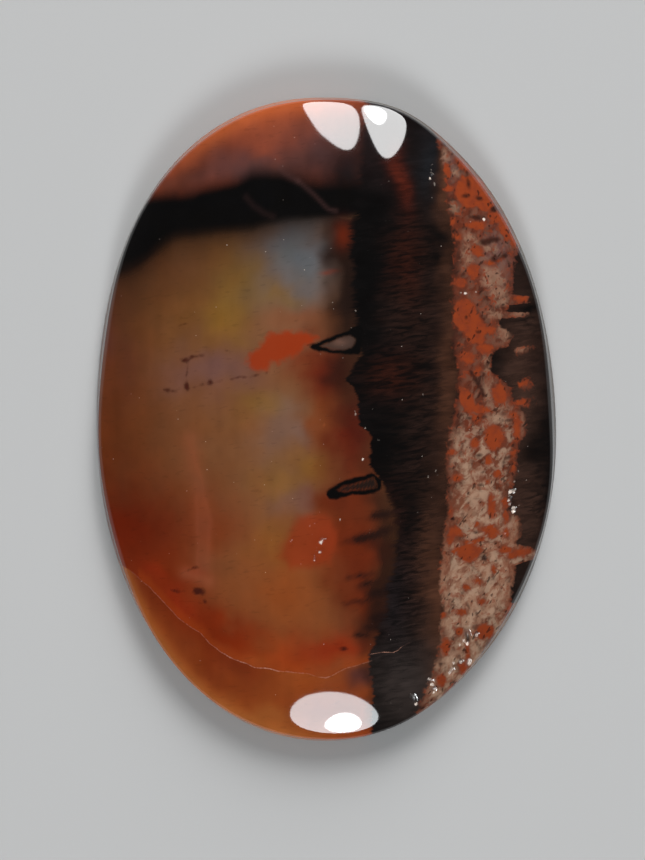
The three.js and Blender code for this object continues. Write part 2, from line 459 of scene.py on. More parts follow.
# %% The clear field
FIELD = [
    ("rust brown", -15.5, 0.0, 5.5, 14.0, 0, 1.0),
    ("brown", -13.5, 9.0, 3.5, 4.0, 0, 0.7),
    ("ochre", -9.5, 7.0, 2.8, 3.5, 0, 0.7),
    ("olive", -5.4, 9.6, 2.4, 2.4, 0, 0.9),
    ("olive yellow", -6.4, 7.4, 1.8, 1.7, 0, 0.8),
    ("olive yellow", -4.8, 10.2, 1.0, 1.2, 0, 0.5),
    ("chalcedony", -1.4, 11.4, 2.7, 3.8, 0, 1.0),
    ("smoky chalcedony", -3.0, 7.6, 2.0, 1.4, 0, 0.6),
    ("fringe", 1.4, 7.4, 0.9, 1.2, 0, 0.8),
    ("mauve edge", -15.4, 7.0, 1.3, 4.0, 0, 0.8),
    ("mauve edge", -13.4, 4.0, 0.7, 2.3, 0, 0.4),
    ("mauve", -7.6, 3.6, 3.0, 1.6, 8, 0.95),
    ("olive", -5.0, 1.4, 1.8, 0.9, 10, 0.5),
    ("lilac grey", -3.2, 1.2, 1.3, 0.9, 10, 0.5),
    ("olive yellow", -2.6, -4.0, 1.8, 1.5, 0, 0.6),
    ("olive yellow", -0.6, -2.3, 0.9, 1.0, 0, 0.7),
    ("lilac grey", -1.4, -0.5, 1.1, 1.0, 0, 0.6),
    ("lilac grey", -1.5, -5.2, 1.0, 1.2, 0, 0.6),
    ("lilac grey", -3.2, -0.6, 1.4, 2.4, 0, 0.5),
    ("lilac grey", -2.2, -5.6, 1.6, 1.0, 0, 0.5),
    ("olive yellow", -3.6, -8.4, 1.6, 1.6, 0, 0.5),
    ("olive yellow", -4.3, 1.2, 1.2, 1.0, 0, 0.4),
    ("orange brown", 0.2, 1.4, 1.0, 3.6, 0, 0.55),
    ("ember red", 2.0, -0.6, 1.9, 4.4, 0, 1.0),
    ("ember red", 0.9, -4.9, 2.2, 1.0, 0, 0.6),
    ("ember red", 0.3, 3.8, 1.0, 1.4, 0, 0.6),
    ("deep red", -14.5, -7.5, 5.5, 4.2, 0, 1.0),
    ("blood red", -11.5, -11.5, 4.5, 3.0, -35, 0.9),
    ("blood red", -8.2, -7.2, 2.2, 2.4, 0, 0.5),
    ("orange brown", -2.8, -12.3, 3.6, 4.6, 0, 0.95),
    ("rust red", 2.6, -9.0, 2.0, 6.0, 0, 0.95),
    ("blood red", -6.6, -15.0, 3.4, 1.3, -25, 1.0),
    ("blood red", -8.4, -13.6, 3.0, 1.5, -30, 0.8),
    ("blood red", -0.5, 4.6, 1.8, 0.9, 0, 0.6),
    ("blood red", 0.6, -8.0, 1.4, 1.8, 0, 0.6),
    ("rust red", 0.6, -5.6, 2.2, 0.9, 0, 0.7),
    ("rust red", 1.9, -9.6, 1.6, 2.6, 0, 0.5),
    ("rust red", 3.6, -9.0, 1.4, 1.4, 0, 0.9),
    ("rust red", 3.0, -12.0, 1.6, 2.6, 0, 0.8),
    ("fire red", -10.2, -12.5, 1.6, 0.8, -25, 0.9),
    ("fire red", -8.7, -10.6, 0.9, 0.6, -10, 0.6),
    ("fire red", -12.6, -10.4, 1.2, 0.6, -35, 0.7),
    ("amber", -4.1, -16.5, 0.9, 0.5, 0, 0.5),
    ("orange", -1.8, -16.3, 4.2, 1.1, 0, 0.9),
    ("ember red", -0.4, 3.8, 1.4, 1.8, 0, 0.8),
    ("orange brown", -1.6, 6.8, 2.6, 0.9, 0, 0.5),
    ("olive yellow", -2.8, 8.3, 1.2, 0.7, 0, 0.5),
    ("rust red", 1.6, -7.5, 1.3, 2.6, 0, 0.6),
    ("fire red", 0.8, -15.3, 3.0, 1.1, 5, 0.9),
]
field = washes("tan", FIELD, SOFT_X, SOFT_Y)
print(len(FIELD), "washes in the field, mean", field.mean(0).round(3))

# %% [markdown]
# ## The roof and the cap
#
# A black band crosses the top of the field like a roof, crisp on the right and melting into
# brown on the left, and above it glows an orange cap. Two drawn lines carry it: for each x they
# give the height of the band's lower and upper edge, and the softness changes along them.

# %% The roof and the cap
CAP = [
    ("cap red", -3.8, 20.4, 3.0, 1.3, 10, 0.6),
    ("cap dark", -9.4, 17.3, 3.4, 1.7, 28, 1.0),
    ("cap purple", -4.5, 17.5, 4.5, 1.4, 8, 0.95),
    ("cap purple", -0.8, 19.0, 2.2, 2.0, 0, 0.9),
    ("smoke", 3.4, 18.6, 3.4, 4.4, 0, 1.0),
    ("smoke", 1.0, 17.0, 3.0, 2.0, 0, 1.0),
]
ROOF_LOWER = [
    (-17, 9.5), (-14.5, 10.4), (-13.5, 10.7), (-12.5, 11.3), (-11.5, 12.0), (-10.5, 12.7),
    (-9.5, 13.0), (-8, 13.1), (-6, 13.3), (-5, 13.4), (-4, 13.7), (-2.5, 14.0), (-1, 14.1), (2, 14.3),
]
ROOF_UPPER = [
    (-13, 15.6), (-10, 15.8), (-9, 16.0), (-8, 16.3), (-7, 16.5), (-6, 16.7), (-5, 17.2), (-4, 17.3),
    (-3, 17.2), (-2, 16.8), (-1, 16.5),
]
ROOF_SOFT = [(-15, 0.9), (-9, 0.6), (-4, 0.4), (0, 0.25)]  # half the width of the lower edge's fade
SHADE_DEPTH = 2.4  # how far the shade hangs down into the clear stone before it has lost two thirds


def along(line, x):
    """The line's second number at x, straight between its points."""
    places, values = zip(*line)
    return np.interp(x, places, values)


from_rim = np.zeros(len(points))  # millimetres from the girdle, on the face
from_rim[: len(dome)] = (1 - dome_share) * np.hypot(dome[:, 0], dome[:, 1]) / np.maximum(dome_share, 0.01)
cap = washes("cap rust", CAP, SOFT_X, SOFT_Y)
# Painted glow: orange within about a millimetre of the girdle on the upper left, where light comes through
# the thin edge.
lay(cap, "cap rim glow", 0.7 * np.exp(-((from_rim / 0.9) ** 2)) * step(1.0, -2.0, X) * step(-12, -7, X))
over_lower = Y - along(ROOF_LOWER, X)
over_upper = Y - along(ROOF_UPPER, X)
fade = along(ROOF_SOFT, X)
lay(field, "roof black", 0.9 * np.exp(-np.clip(-over_lower, 0, None) / SHADE_DEPTH))
lay(field, "roof black", step(-fade, fade, over_lower))
field += (cap - field) * step(-0.6, 0.9, over_upper)[:, None]
print("the roof covers", round(float((over_lower[: len(dome)] > 0).mean()) * 100, 1), "% of the face")

# %% [markdown]
# ## Distances to drawn marks
#
# A mark with a crisp edge is stored as a distance: how many millimetres a point lies inside it,
# below zero outside. Distances blend evenly from point to point of the mesh, so the shader can
# cut them into an edge that is finer than the mesh. Three functions measure them: for a line
# with some width, for a closed outline and for a heap of ellipses.

# %% Distances
FAR_OUTSIDE = -9.0  # where no ellipse is near


def to_line(line, x, y):
    """The least distance to the line's stretches: each is met at its nearest point."""
    nearest = np.full(len(x), np.inf)
    for (x0, y0), (x1, y1) in zip(line[:-1], line[1:]):
        way_x, way_y = x1 - x0, y1 - y0
        share = ((x - x0) * way_x + (y - y0) * way_y) / (way_x**2 + way_y**2)
        share = np.clip(share, 0, 1)
        nearest = np.minimum(nearest, np.hypot(x - x0 - share * way_x, y - y0 - share * way_y))
    return nearest


def inside(outline, x, y):
    """Distance to a closed outline, above zero inside: a point is inside when a ray from it
    towards +X crosses the outline an odd number of times."""
    closed = [*outline, outline[0]]
    odd = np.zeros(len(x), bool)
    for (x0, y0), (x1, y1) in zip(closed[:-1], closed[1:]):
        if y0 != y1:
            crossing = x0 + (y - y0) * (x1 - x0) / (y1 - y0)
            odd ^= ((y0 > y) != (y1 > y)) & (crossing > x)
    return np.where(odd, 1, -1) * to_line(closed, x, y)


def in_ellipses(rows, x, y):
    """How far inside the nearest ellipse: one minus the share, times its smaller half size."""
    best = np.full(len(x), FAR_OUTSIDE)
    for middle_x, middle_y, half_x, half_y, turn in rows:
        share = within(x, y, middle_x, middle_y, half_x, half_y, turn)
        best = np.maximum(best, (1 - share) * min(half_x, half_y))
    return best


# %% [markdown]
# ## The bark side
#
# Right of the field stands a black column of bark, then a band of broken wood in pale silica,
# and then dark wood out to the rim. Their borders run up and down, so each is a line that gives
# x for a height y. Fingers of the column reach into the field: the large one is a closed outline
# with a grey heart, and the small ones are ellipses with soft edges. Next to the column the clear
# stone is shaded and reddened, by a fringe whose width changes with y and by a few washes.

# %% Borders of the column
COLUMN_LEFT = [
    (-21, 3.2), (-18.5, 3.3), (-16, 3.0), (-15.5, 3.3), (-14.5, 3.5), (-14, 3.7), (-13, 4.1), (-12.5, 4.2),
    (-12, 4.4), (-11.2, 4.1), (-10.8, 4.3), (-10, 4.7), (-9.5, 4.9), (-8.5, 4.8), (-7, 5.0), (-5.9, 4.8),
    (-5, 4.4), (-4, 4.0), (-3.2, 3.4),
    (-2.9, 3.2), (-2.5, 3.1), (-2.1, 3.0), (-1.9, 3.15), (-0.8, 3.15), (-0.4, 3.0), (-0.2, 2.7), (0, 2.4),
    (1.5, 2.3), (2, 2.2), (2.5, 2.1), (2.8, 1.7), (3.0, 1.4), (3.6, 1.8), (4.2, 2.0), (4.9, 2.5),
    (6.5, 2.2), (7, 2.3), (8, 2.0), (11, 1.9), (11.5, 1.6), (12.5, 1.8), (13.5, 1.9), (14.3, 2.2), (23, 3.0),
]
BAND_LEFT = [
    (-20.3, 6.3), (-18.5, 7.0), (-17.5, 7.4), (-16.5, 7.7), (-15.5, 7.9), (-14.5, 8.0), (-12, 8.0),
    (-10.5, 7.9), (-8.5, 8.1), (-7, 8.3), (-6, 8.5), (-5, 8.4), (-4, 8.5), (-3, 8.3), (-2.5, 8.4), (-1, 8.5),
    (0, 8.7), (2, 9.1), (4, 9.1), (6, 8.7), (8, 8.7), (10, 8.7), (12, 8.9), (13, 8.8), (14, 8.6), (15, 8.5),
    (16, 8.2), (17, 8.2), (18.5, 8.0), (19.6, 7.7),
]
BAND_RIGHT = [
    (-14, 20), (-13, 14.2), (-12.5, 12.7), (-11, 13.0), (-9.8, 13.0), (-9.5, 14.9), (-9.1, 15.2),
    (-8.6, 14.0), (-8.3, 13.1), (-8, 13.3), (-7, 13.4), (-6.5, 13.3), (-6, 12.6), (-5, 12.7), (-4.2, 12.9),
    (-3.3, 13.2), (-2.5, 13.1), (-1.2, 13.4), (-0.8, 13.9), (-0.3, 13.7), (0.8, 13.7), (1.8, 12.8),
    (2.5, 12.7), (3.0, 12.2), (3.3, 11.8), (3.9, 11.3), (4.7, 11.3), (5.1, 11.9), (5.4, 12.7), (6.2, 12.6),
    (6.8, 11.8), (7.2, 12.0), (7.25, 13.8), (7.6, 14.0), (7.65, 12.3), (8.1, 12.5), (8.25, 14.0),
    (8.75, 14.1), (8.85, 12.9), (10.3, 13.0), (11.3, 13.1), (12, 13.4), (12.6, 20),
]
FINGER = [
    (0.1, -4.7), (0.3, -4.35), (0.8, -4.05), (1.4, -3.75), (2.2, -3.5), (3.3, -3.25), (3.9, -3.7),
    (3.9, -4.3), (3.4, -4.65), (2.5, -4.75), (1.8, -4.75), (1.3, -4.85), (0.9, -5.0), (0.3, -5.05),
]
FINGER_HEART = [
    (0.85, -4.45), (1.3, -4.1), (2.2, -3.85), (3.4, -3.55), (3.6, -4.3), (2.2, -4.45), (1.4, -4.5),
]
FINGERS = [
    # middle, half sizes, turn
    (4.0, -6.15, 0.8, 0.22, 12), (3.2, -7.6, 1.4, 0.24, 15), (2.3, -7.85, 0.45, 0.22, 10),
    (3.8, -11.6, 0.9, 0.34, 10), (2.6, -12.15, 0.5, 0.1, 8), (4.0, -13.4, 0.8, 0.4, 8),
    (3.6, -14.0, 0.5, 0.2, 0), (2.4, -10.4, 0.5, 0.1, 10), (2.9, -10.9, 0.4, 0.1, 10),
    (2.5, -14.6, 0.2, 0.08, 0),
]
CRISPNESS = [(-16, 2.5), (-13.5, 1.2), (-5, 1.2), (-3.5, 2.5), (3.5, 2.5), (5, 1.5), (8, 1.0)]
column = (X - along(COLUMN_LEFT, Y)) * along(CRISPNESS, Y)
band = np.minimum(X - along(BAND_LEFT, Y), along(BAND_RIGHT, Y) - X)
ISLANDS = [(13.5, 5.05, 0.5, 0.25, 0), (13.75, 2.65, 0.55, 0.4, 10), (13.5, 1.4, 0.7, 0.35, 10)]
band = np.maximum(band, in_ellipses(ISLANDS, X, Y))
FRINGE = [
    # height, strength, width
    (-21, 0.5, 0.8), (-16, 0.5, 1.2), (-13, 0.9, 2.2), (-10, 0.9, 2.2), (-7, 0.85, 2.2), (-5, 0.7, 2.4),
    (-4, 0.45, 1.4), (0, 0.4, 2.2), (2, 0.6, 2.4), (6, 0.85, 2.8), (8, 1.0, 2.5), (14, 1.0, 2.1),
]
heights, strengths, widths = zip(*FRINGE)
fringe_width = np.interp(Y, heights, widths)
from_column = along(COLUMN_LEFT, Y) - X + 0.6 * clouds(wood_x, wood_y, 1.6, 65)
fringe = np.interp(Y, heights, strengths, right=0)
fringe *= step(fringe_width, 0.3 * fringe_width, from_column)
lay(field, "fringe", fringe)
fingers = in_ellipses(FINGERS, X, Y) + 0.12 * clouds(X, Y, 0.5, 91)
lay(field, "finger dark", 0.95 * step(-0.25, 0.12, fingers))
BY_COLUMN = [
    # not stirred, because they belong to places of the column
    ("blood red", 1.25, 12.9, 0.6, 0.9, 0, 0.45),
    ("blood red", 0.3, 10.4, 0.5, 0.14, 8, 0.5),
    ("fringe", 0.8, 7.2, 1.5, 2.4, 0, 0.5),
    ("fringe", 1.5, 3.2, 1.4, 1.8, 0, 0.4),
    ("fringe", 1.2, -1.0, 2.2, 5.0, 0, 0.22),
]
for paint_name, *ellipse, strength in BY_COLUMN:
    lay(field, paint_name, strength * np.exp(-(within(X, Y, *ellipse) ** 2)))
print("widest band", round(float(band.max() * 2), 1), "mm")

# %% [markdown]
# ## Colours of the bark
#
# The column looks black, yet it holds dried red, brown and a blue black strip, and its foot is
# grey. The dark wood on the far side is browner. These are washes again, on a black ground.

# %% Colours of the bark
BARK = [
    ("bark brown", 7.2, 3.0, 2.0, 12.0, 0, 0.7),
    ("bark brown", 6.8, -11.0, 2.4, 6.0, 0, 0.9),
    ("dried red", 4.8, 3.4, 2.0, 1.5, 10, 0.9),
    ("dried red", 5.6, 10.8, 1.2, 3.0, 0, 0.9),
    ("bark brown", 5.0, 7.6, 1.4, 1.8, 0, 0.5),
    ("smoke", 3.2, 19.0, 2.4, 3.0, 0, 1.0),
    ("streak red", 5.3, 16.8, 0.6, 2.1, 8, 1.0),
    ("blue black", 7.0, 17.8, 0.8, 2.4, 0, 0.9),
    ("bark fringe", 8.2, 17.2, 0.5, 2.6, 0, 0.8),
    ("bark fringe", 8.6, 4.0, 0.6, 11.0, 0, 0.45),
    ("bark fringe", 7.5, -12.5, 1.0, 6.5, 0, 0.65),
    ("dried red", 4.0, -9.0, 1.6, 5.0, 0, 0.7),
    ("foot grey", 5.6, -18.2, 2.6, 3.2, 0, 0.9),
    ("blue black", 4.8, -12.0, 1.3, 4.0, 0, 0.6),
    ("roof black", 3.9, -1.6, 1.3, 2.2, 0, 0.9),
    ("roof black", 2.9, 9.5, 0.9, 4.5, 0, 0.9),
    ("roof black", 3.0, 14.8, 2.0, 1.4, 0, 0.9),
    ("roof black", 7.6, 13.0, 0.6, 0.5, 0, 0.9),
    ("roof black", 7.8, 11.5, 0.5, 0.5, 0, 0.9),
    ("roof black", 7.1, 4.0, 1.0, 0.3, 5, 0.9),
    ("roof black", 7.2, 3.1, 0.8, 0.2, 5, 0.9),
    ("roof black", 5.8, -6.0, 0.8, 2.6, -25, 0.6),
    ("finger grey", 2.1, -4.2, 1.2, 0.28, 8, 1.0),
    ("edge brown", 13.6, 2.0, 1.5, 9.0, 0, 1.0),
    ("edge brown", 13.8, -6.0, 1.6, 4.0, 0, 1.0),
    ("bark brown", 14.4, 4.5, 1.0, 1.5, 0, 0.7),
    ("roof black", 14.0, 7.9, 1.2, 0.3, 0, 0.9),
    ("roof black", 14.6, -1.9, 1.4, 1.1, 15, 0.8),
    ("roof black", 15.9, -1.0, 0.7, 9.0, 0, 0.9),
]
stir_x = wood_x + 0.6 * clouds(wood_x, wood_y, 1.8, 71)
stir_y = wood_y + 0.3 * clouds(wood_x, wood_y, 1.2, 81)
bark = washes("bark black", BARK, stir_x, stir_y)
bark *= 1 + 0.35 * clouds(wood_x / 2.5, wood_y, 0.5, 75)[:, None]
hatching = 0.45 + 0.45 * step(15.5, 13.0, Y) * step(-17.5, -12.0, Y)  # dashes fade at both ends
hatching *= 1 - 0.6 * step(-2.2, -0.5, band)  # and where the column meets the band
print("mean bark colour", bark.mean(0).round(3))

# %% [markdown]
# ## The broken band
#
# Between the two dark woods lies a breccia: splinters of orange jasper and black specks in
# pinkish silica. The large splinters are ellipses placed one by one, as they are what the eye
# knows the stone by. The fine crumble between them is left to noise in the material.

# %% Splinters of the band
SPLINTERS = [
    # middle, half sizes, turn
    (10.1, 15.9, 1.15, 1.1, 0), (10.9, 15.2, 0.8, 0.6, -35), (10.6, 16.5, 0.9, 0.3, -48),
    (9.6, 17.7, 0.6, 0.25, -38), (8.35, 17.2, 0.28, 0.5, 0), (8.6, 16.1, 0.4, 0.16, 0),
    (12.0, 14.0, 0.8, 0.35, -30), (12.4, 13.3, 0.35, 0.7, 30), (12.95, 12.5, 0.18, 0.5, 30),
    (10.4, 13.6, 0.7, 0.3, -5), (8.8, 13.9, 0.2, 0.25, 0), (9.0, 12.8, 0.25, 0.18, 0),
    (10.5, 11.9, 0.4, 0.3, 0), (10.2, 10.5, 0.45, 0.5, 0), (9.3, 9.7, 0.4, 0.35, 0),
    (11.3, 11.0, 0.3, 0.2, 0), (13.5, 8.55, 0.55, 0.22, 0), (9.6, 7.4, 0.85, 1.15, 10),
    (10.3, 6.4, 0.75, 0.95, 10), (11.3, 6.4, 0.4, 0.25, 0), (11.0, 5.1, 0.5, 0.35, 0),
    (9.7, 4.6, 0.5, 0.4, 0), (10.4, 3.6, 0.2, 0.4, -30), (9.75, 1.6, 0.45, 1.05, 25),
    (10.6, 0.95, 0.75, 0.3, -10), (10.5, 0.4, 0.4, 0.2, 0), (12.0, 2.0, 0.5, 0.65, 10),
    (12.2, 3.4, 0.6, 0.18, 0), (13.4, 2.7, 0.5, 0.2, 10), (13.4, 1.5, 0.6, 0.18, 10),
    (12.9, 0.6, 0.4, 0.22, 0), (13.2, -0.1, 0.22, 0.9, 0), (11.6, -0.9, 0.62, 0.85, 0),
    (10.3, -1.4, 0.28, 0.35, 0), (8.7, -1.95, 0.25, 0.2, 0), (11.2, -2.6, 0.22, 0.35, 0),
    (12.9, -2.0, 0.15, 0.3, 0), (13.0, -3.0, 0.15, 0.25, 0), (11.2, -3.85, 0.2, 0.16, 0),
    (11.85, -3.4, 0.22, 0.22, 0), (9.05, -3.7, 0.32, 0.26, 0), (11.5, -5.7, 0.27, 0.8, 5),
    (12.4, -5.3, 0.2, 0.2, 0), (8.7, -6.0, 0.15, 0.35, 0), (12.5, -6.4, 0.15, 0.4, 0),
    (10.5, -6.9, 0.13, 0.15, 0), (9.0, -7.4, 0.5, 0.3, -20), (8.65, -7.9, 0.2, 0.4, 0),
    (11.4, -7.4, 0.65, 0.38, -20), (12.5, -7.5, 0.2, 0.3, 0), (10.4, -8.0, 0.8, 0.13, 10),
    (9.9, -8.9, 0.75, 0.6, 15), (9.0, -8.7, 0.3, 0.13, 0), (13.4, -9.0, 0.8, 0.3, 5),
    (12.4, -8.7, 0.4, 0.25, 0), (7.7, -9.3, 0.2, 0.3, 0), (7.65, -10.4, 0.2, 0.35, 0),
    (11.6, -10.0, 0.14, 0.3, 0), (10.5, -10.9, 0.35, 0.2, 0), (9.8, -11.3, 0.25, 0.2, 0),
    (10.8, -12.4, 0.3, 0.28, 0), (9.3, -13.0, 0.5, 0.22, 0), (8.0, -13.2, 0.3, 0.25, 0),
    (11.1, -14.5, 0.58, 0.55, 0), (9.3, -14.4, 0.28, 0.28, 0), (8.3, -15.5, 0.28, 0.6, 0),
    (9.9, -15.9, 0.18, 0.6, 0), (8.1, -17.9, 0.35, 0.45, 0), (9.6, -17.2, 0.25, 0.4, 0),
    (8.9, -18.5, 0.6, 0.2, 40), (12.9, -12.8, 0.6, 0.18, 45),
]
PALE_PATCHES = [
    (9.9, 12.7, 0.7, 0.28, -10), (9.8, 11.4, 0.45, 0.9, 0), (11.2, 12.1, 0.6, 0.25, -10),
    (11.3, 10.5, 0.4, 0.8, 20), (11.5, 9.9, 0.8, 0.6, 0), (11.9, 9.0, 0.55, 0.5, 0),
    (12.2, 8.4, 0.5, 0.3, 0), (11.7, 7.5, 0.6, 0.3, -20), (12.3, 6.2, 0.45, 0.6, 0),
    (8.9, 14.8, 0.3, 0.3, 0), (8.3, 18.3, 0.35, 0.5, 0), (8.9, 17.2, 0.25, 0.4, 0),
    (13.5, 7.5, 0.4, 0.13, 0), (13.95, 8.7, 0.12, 0.25, 0), (11.2, 4.6, 0.45, 0.22, -30),
    (11.1, 4.0, 0.25, 0.7, 15), (11.3, 3.0, 0.35, 0.5, 0), (11.2, 2.4, 0.25, 0.8, 0),
    (12.0, 1.2, 0.7, 0.3, 0), (11.8, 0.3, 0.8, 0.35, 0), (13.5, 0.2, 0.15, 0.6, 0),
    (9.3, -0.6, 0.18, 0.6, -10), (9.0, -1.6, 0.35, 1.1, 0), (9.7, -2.9, 0.5, 1.4, 0),
    (10.9, -1.5, 0.3, 0.5, 0), (10.3, -4.4, 1.2, 0.7, 0), (10.3, -6.2, 0.8, 0.5, 0),
    (11.2, -6.7, 1.2, 0.35, 0), (12.9, -7.3, 0.35, 0.7, 0), (9.2, -10.0, 0.7, 0.9, 0),
    (8.6, -11.4, 0.45, 1.0, 0), (9.4, -12.3, 0.35, 0.5, 0), (8.5, -13.6, 0.5, 0.5, 0),
    (10.0, -13.5, 0.35, 0.8, 0), (11.2, -13.1, 0.6, 0.55, 0), (11.5, -12.3, 0.5, 0.4, 0),
    (11.0, -11.2, 0.5, 0.5, 0), (10.9, -8.6, 0.8, 0.22, 0), (11.8, -9.3, 0.8, 0.35, 0),
    (12.2, -11.6, 0.5, 0.4, 0), (10.7, -16.1, 0.5, 0.25, 40), (13.5, 5.05, 0.4, 0.15, 0),
]
splinters = in_ellipses(SPLINTERS, X, Y)
pale = in_ellipses(PALE_PATCHES, X, Y)
BAND = [
    ("band pink", 10.4, -9.5, 4.0, 6.5, 0, 1.0),
    ("band pale", 9.8, -12.6, 3.5, 3.2, 0, 0.7),
    ("band pale", 9.0, -17.5, 2.5, 2.2, 0, 0.9),
    ("band dark", 8.7, 8.0, 0.8, 12.0, 0, 0.9),
    ("band violet", 11.8, 11.8, 1.3, 2.2, 0, 0.6),
    ("band violet", 8.6, 18.0, 0.8, 1.6, 0, 0.6),
    ("band dark", 10.4, 3.2, 0.5, 1.2, 15, 0.8),
    ("band dark", 12.5, -3.4, 0.5, 1.1, 0, 0.6),
    ("band rust", 9.8, 4.2, 0.9, 1.3, 0, 0.8),
    ("band rust", 10.2, 0.2, 0.8, 0.8, 0, 0.8),
    ("band rust", 9.9, 13.2, 1.2, 1.4, 0, 0.7),
    ("band rust", 10.0, 9.0, 1.2, 1.0, 0, 0.7),
]
ground = washes("band brown", BAND, wood_x, wood_y)
crumbs = 0.55 + 0.3 * step(-6, 6, wood_y)  # orange crumbs are thicker in the upper half
cream = (0.55 - 0.45 * step(-3, 4, wood_y)) * step(0.0, 0.9, band)  # pale silica in the lower
print(len(SPLINTERS), "splinters")

# %% [markdown]
# ## Jasper, the knot and the ink
#
# Two orange red patches of jasper hang in the clear field. Beside the upper one a knot looks out
# of the column like an eye with a black lid. Dark red dots run along a line that was a growth
# ring, and small black marks lie all over the band. All of these are distances. The dark ones
# share one called ink. The eye's black lid and the skin of the large finger share two: one to
# their outer edge and one to the hole inside it.

# %% Jasper, knot and ink
JASPER = [
    (-5.4, 4.3), (-5.0, 4.9), (-4.4, 5.3), (-4.0, 5.9), (-3.6, 6.2), (-2.6, 6.3), (-1.2, 6.3), (-0.4, 6.0),
    (-0.8, 5.7), (-1.2, 5.3), (-1.6, 5.0), (-2.2, 4.6), (-3.0, 4.3), (-3.6, 4.1), (-3.9, 3.8), (-4.6, 3.7),
    (-5.1, 4.0),
]
JASPER_LOW = [
    (-3.0, -8.3), (-2.6, -7.6), (-2.1, -7.0), (-1.7, -6.3), (-0.5, -6.15), (0.4, -6.5), (0.8, -7.4),
    (0.7, -8.6), (0.2, -9.4), (-1, -9.8), (-2.4, -9.9), (-2.9, -8.9),
]
KNOT = [
    (-1.2, 5.35), (-0.5, 5.6), (0.0, 5.85), (0.6, 6.1), (1.4, 6.35), (2.4, 6.8), (2.7, 6.4), (2.4, 4.85),
    (1.0, 4.85), (0.0, 4.95), (-0.8, 5.1),
]
EYE = [
    (-0.35, 5.35), (0.2, 5.6), (0.9, 5.9), (1.7, 6.1), (2.1, 5.8), (1.9, 5.25), (1.2, 5.1), (0.4, 5.15),
]
INK_LINES = [
    # half width, then the line's points
    (0.06, [(-9.8, 4.35), (-9.0, 4.55), (-8.2, 4.75)]),
    (0.10, [(-9.7, 4.3), (-9.3, 4.4)]),
    (0.03, [(-9.4, 4.4), (-9.4, 2.4)]),
    (0.14, [(10.0, 3.6), (10.5, 2.8), (10.9, 1.9)]),
    (0.07, [(10.3, -13.0), (10.85, -13.7)]),
    (0.07, [(10.5, -15.2), (10.9, -15.8)]),
]
INK_DOTS = [
    (-10.8, 2.3, 0.2, 0.12, 0), (-10.3, 2.25, 0.12, 0.06, 0), (-9.4, 2.55, 0.2, 0.25, 0),
    (-8.9, 2.55, 0.12, 0.06, 0), (-8.4, 2.7, 0.15, 0.06, 10), (-7.8, 2.85, 0.2, 0.2, 0),
    (-7.2, 2.95, 0.15, 0.05, 10), (-6.4, 3.05, 0.12, 0.05, 10), (-5.9, 3.15, 0.22, 0.06, 10),
    (-5.4, 3.25, 0.15, 0.05, 10), (-4.7, 3.35, 0.1, 0.05, 10), (-4.0, 3.5, 0.1, 0.05, 10),
    (-3.3, 3.65, 0.1, 0.05, 10), (-6.7, 5.05, 0.09, 0.08, 0), (-9.7, 6.8, 0.16, 0.05, 20),
    (-8.7, -11.65, 0.45, 0.28, 0), (-10.2, -11.6, 0.3, 0.08, -10), (-8.3, -12.3, 0.14, 0.14, 0),
    (-9.2, -10.1, 0.4, 0.06, 20), (1.3, -15.5, 0.25, 0.14, 10),
    (9.8, 17.2, 0.1, 0.15, 0), (9.85, 16.4, 0.15, 0.35, 10), (9.7, 15.55, 0.2, 0.1, 0),
    (10.5, 15.5, 0.3, 0.18, -20), (11.6, 14.7, 0.28, 0.18, 35), (10.5, 14.15, 0.5, 0.15, 0),
    (11.3, 12.55, 0.8, 0.25, 8), (12.3, 11.5, 0.3, 0.22, 0), (11.6, 11.3, 0.25, 0.22, 0),
    (12.5, 0.2, 0.35, 0.08, 0), (9.9, 0.4, 0.2, 0.12, 0), (10.9, 0.4, 0.25, 0.1, 0),
    (8.5, -0.4, 0.25, 0.06, -10), (9.35, -1.7, 0.07, 0.35, -5), (10.6, -2.15, 0.18, 0.1, 0),
    (10.65, -2.6, 0.12, 0.07, 0), (12.6, -2.3, 0.3, 0.1, 30), (12.3, -2.9, 0.1, 0.3, 0),
    (8.95, -3.2, 0.15, 0.09, 0), (10.8, -3.3, 0.15, 0.06, 0), (10.6, -4.15, 0.25, 0.08, 0),
    (10.55, -4.6, 0.07, 0.15, 0), (9.8, -4.8, 0.06, 0.15, 0), (10.4, -5.2, 0.27, 0.08, -5),
    (9.5, -6.3, 0.08, 0.3, 0), (8.8, -6.5, 0.2, 0.12, 0), (10.4, -7.45, 0.2, 0.09, 0),
    (11.4, -8.2, 0.4, 0.1, 0), (11.0, -9.3, 0.2, 0.24, 0), (11.55, -10.6, 0.07, 0.2, 15),
    # (9.9, -14.9) on the next row lies in the deep hole at the foot of the bark side and darkens its inside
    (11.4, -11.1, 0.1, 0.1, 0), (8.1, -16.8, 0.12, 0.15, 0), (9.9, -14.9, 0.16, 0.3, 10),
    (9.6, 7.25, 0.12, 0.14, 0), (10.45, 6.28, 0.14, 0.14, 0),
]
SPLINTER_RING = (9.6, 7.25, 0.323, 0.38)  # a thin dark ring in the large splinter
eye = inside(EYE, X, Y)
finger_heart = inside(FINGER_HEART, X, Y)
lid = np.maximum(inside(KNOT, X, Y), inside(FINGER, X, Y))
lid_hole = np.maximum(eye, finger_heart)
jasper = inside(JASPER, X, Y)
jasper_low = inside(JASPER_LOW, X, Y) + 0.25 * clouds(X, Y, 0.7, 61)
lay(field, "jasper low", 0.85 * step(-0.45, 0.35, jasper_low))
ink = in_ellipses(INK_DOTS, X, Y)
for half_width, line in INK_LINES:
    ink = np.maximum(ink, half_width - to_line(line, X, Y))
ring_share = within(X, Y, *SPLINTER_RING)
ink = np.maximum(ink, -SPLINTER_RING[3] * np.abs(ring_share - 1))
in_eye = step(-0.1, 0.1, eye)
gleam = np.exp(-(within(X, Y, 1.1, 5.65, 0.5, 0.25) ** 2))  # the pale middle of the eye
